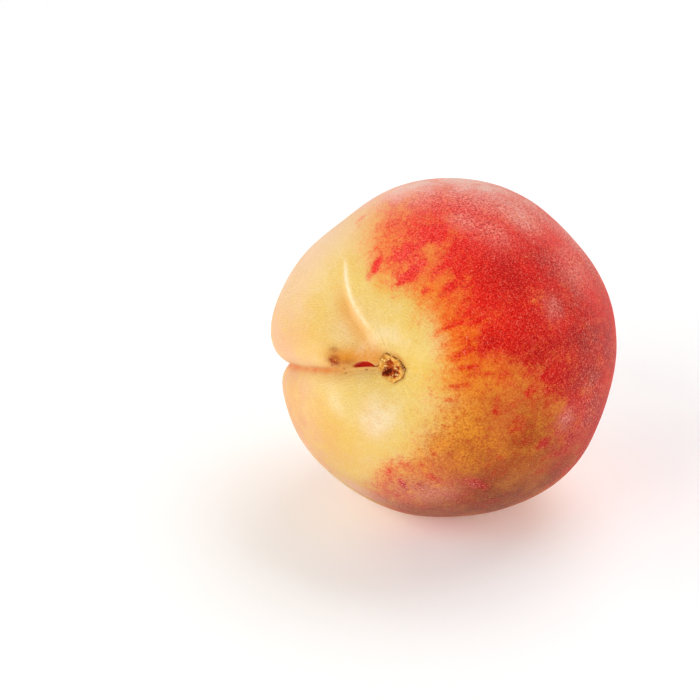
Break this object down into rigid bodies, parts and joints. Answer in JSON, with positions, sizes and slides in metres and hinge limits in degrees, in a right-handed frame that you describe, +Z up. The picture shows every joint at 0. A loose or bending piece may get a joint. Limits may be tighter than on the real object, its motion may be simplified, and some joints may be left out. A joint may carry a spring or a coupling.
{
  "type": "peach",
  "caption": "Whole ripe peach with a suture crease and a dry stem stub, lying on its side on a small flat spot.",
  "frame": {"origin": "middle of the fruit's footprint, on the ground that it rests on", "axes": "+Z up from the rest spot. The stem end points to -Y and 19 degrees up, and the suture leaves the stem towards -X. +Y runs to the blossom end."},
  "size_m": [0.0744, 0.0698, 0.0729],
  "materials": {
    "peach_skin": "fuzzy fruit skin, soft satin with a velvet bloom, yellow with a red blush",
    "dry_stem": "dry rough woody fibre"
  },
  "bodies": {
    "root": {"peach_fruit": "peach_skin", "stem_stub": "dry_stem"}
  },
  "joints": []
}
